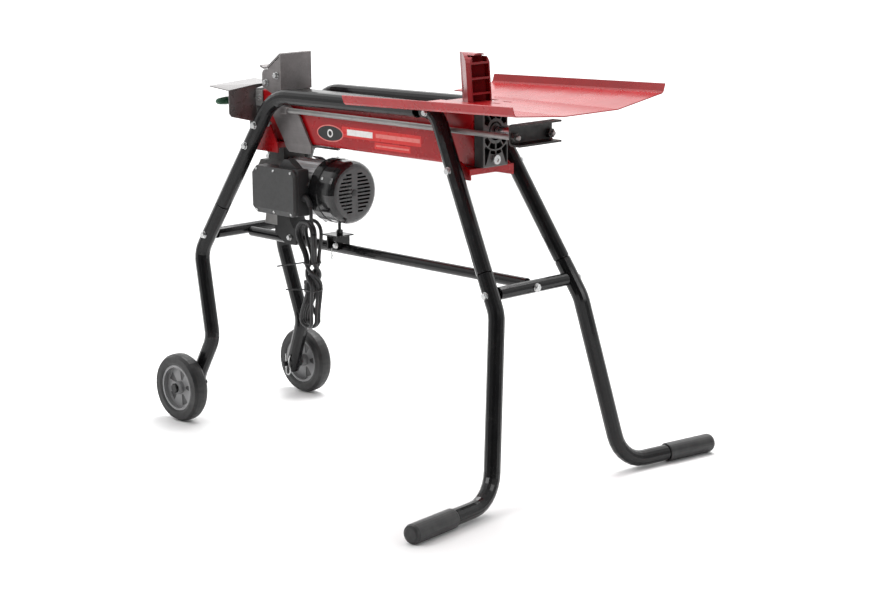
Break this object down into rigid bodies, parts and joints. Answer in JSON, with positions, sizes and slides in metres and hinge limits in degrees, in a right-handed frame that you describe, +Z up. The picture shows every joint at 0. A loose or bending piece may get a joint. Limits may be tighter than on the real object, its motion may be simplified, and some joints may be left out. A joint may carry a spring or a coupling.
{
  "type": "log splitter",
  "caption": "Electric hydraulic log splitter: a beam with a sliding pusher and fixed wedge on a wheeled tube stand, with a tray, motor, switch box and coiled mains cord.",
  "frame": {"origin": "on the floor below the middle of the bounding box", "axes": "+X along the beam from the pusher to the wedge and tray, +Z up, -Y the side of the switch box and lever"},
  "size_m": [1.1616, 0.8954, 0.8745],
  "materials": {
    "leg_tube": "gloss black powder coat",
    "black_rubber": "moulded, matt",
    "zinc": "zinc plated, lightly dulled",
    "rim_plastic": "moulded, fine grain",
    "tyre_rubber": "matt, smooth tread",
    "red_paint": "gloss red powder coat",
    "dark_red_paint": "dark red powder coat",
    "dark_cast": "cast, dark coat",
    "grey_steel": "dull mill finish with light oil",
    "dark_steel": "black coat over folded steel",
    "chrome_rod": "ground and hard chromed",
    "green_plastic": "moulded, slightly glossy",
    "bare_aluminium": "as extruded, silver coat",
    "copper_windings": "laminated core with varnished windings",
    "black_gloss": "gloss black enamel",
    "black_plastic": "moulded, fine grain",
    "grey_plastic": "moulded, fine grain",
    "cord_rubber": "smooth flexible jacket"
  },
  "bodies": {
    "stand": {"rear_leg_near": "leg_tube", "rear_leg_far": "leg_tube", "rear_lower_leg_near": "leg_tube", "rear_lower_leg_far": "leg_tube", "front_leg_near": "leg_tube", "front_leg_far": "leg_tube", "front_lower_leg_near": "leg_tube", "front_lower_leg_far": "leg_tube", "front_crossbar": "leg_tube", "rear_crossbar": "leg_tube", "long_bar": "leg_tube", "foot_sleeve_near": "black_rubber", "foot_sleeve_far": "black_rubber", "axle_near": "black_gloss", "axle_far": "black_gloss", "beam": "red_paint", "front_bracket": "red_paint", "rear_bracket": "red_paint", "tray": "red_paint", "wedge": "dark_red_paint", "end_casting": "dark_cast", "valve_block": "dark_cast", "pump_body": "dark_cast", "drain_plug": "zinc", "cylinder_tube": "grey_steel", "control_guard": "grey_steel", "motor_can": "bare_aluminium", "stator": "copper_windings", "end_bell": "black_gloss", "fan_cover": "black_plastic", "rear_motor_foot": "grey_steel", "front_motor_foot": "black_gloss", "switch_box": "black_plastic", "switch_box_cover": "grey_plastic", "strain_relief": "black_plastic", "power_cord": "cord_rubber", "cord_hank": "cord_rubber", "plug": "black_plastic"},
    "ram": {"pusher_plate": "grey_steel", "carriage_side_near": "grey_steel", "carriage_side_far": "grey_steel", "keeper_plate": "grey_steel", "tie_rod_near": "grey_steel", "tie_rod_far": "grey_steel", "tie_rod_nut_near": "dark_cast", "tie_rod_nut_far": "dark_cast", "crosshead": "dark_steel", "piston_rod": "chrome_rod"},
    "wheel_near": {"wheel_rim_near": "rim_plastic", "tyre_near": "tyre_rubber"},
    "wheel_far": {"wheel_rim_far": "rim_plastic", "tyre_far": "tyre_rubber"},
    "lever": {"control_lever": "zinc", "lever_knob": "green_plastic"},
    "motor_rotor": {"rotor": "grey_steel", "cooling_fan": "black_plastic", "pump_drive_gear": "grey_steel"},
    "pump_gear": {"pump_driven_gear": "grey_steel"},
    "button": {"start_button": "green_plastic"}
  },
  "joints": [
    {"name": "ram_slide", "type": "slide", "parent": "stand", "child": "ram", "axis": [1, 0, 0], "range_m": [0, 0.38]},
    {"name": "wheel_near_spin", "type": "hinge", "parent": "stand", "child": "wheel_near", "pos_m": [-0.5028, -0.187, 0.078], "axis": [0, 1, 0], "continuous": true},
    {"name": "wheel_far_spin", "type": "hinge", "parent": "stand", "child": "wheel_far", "pos_m": [-0.5028, 0.187, 0.078], "axis": [0, 1, 0], "continuous": true},
    {"name": "lever_hinge", "type": "hinge", "parent": "stand", "child": "lever", "pos_m": [-0.4215, -0.05, 0.7345], "axis": [1, 0, 0], "range_deg": [0, 18], "stiffness_Nm_per_rad": 0.5, "springref_deg": -14.32},
    {"name": "start_button_press", "type": "slide", "parent": "stand", "child": "button", "axis": [1, 0, 0], "range_m": [0, 0.004], "stiffness_N_per_m": 300, "springref_m": -0.002},
    {"name": "rotor_spin", "type": "hinge", "parent": "stand", "child": "motor_rotor", "pos_m": [-0.25, 0, 0.548], "axis": [1, 0, 0], "continuous": true},
    {"name": "pump_gear_spin", "type": "hinge", "parent": "stand", "child": "pump_gear", "pos_m": [-0.36, 0, 0.5744], "axis": [1, 0, 0], "continuous": true}
  ],
  "couplings": [
    {"joint": "pump_gear_spin", "follows": "rotor_spin", "ratio": -1}
  ]
}
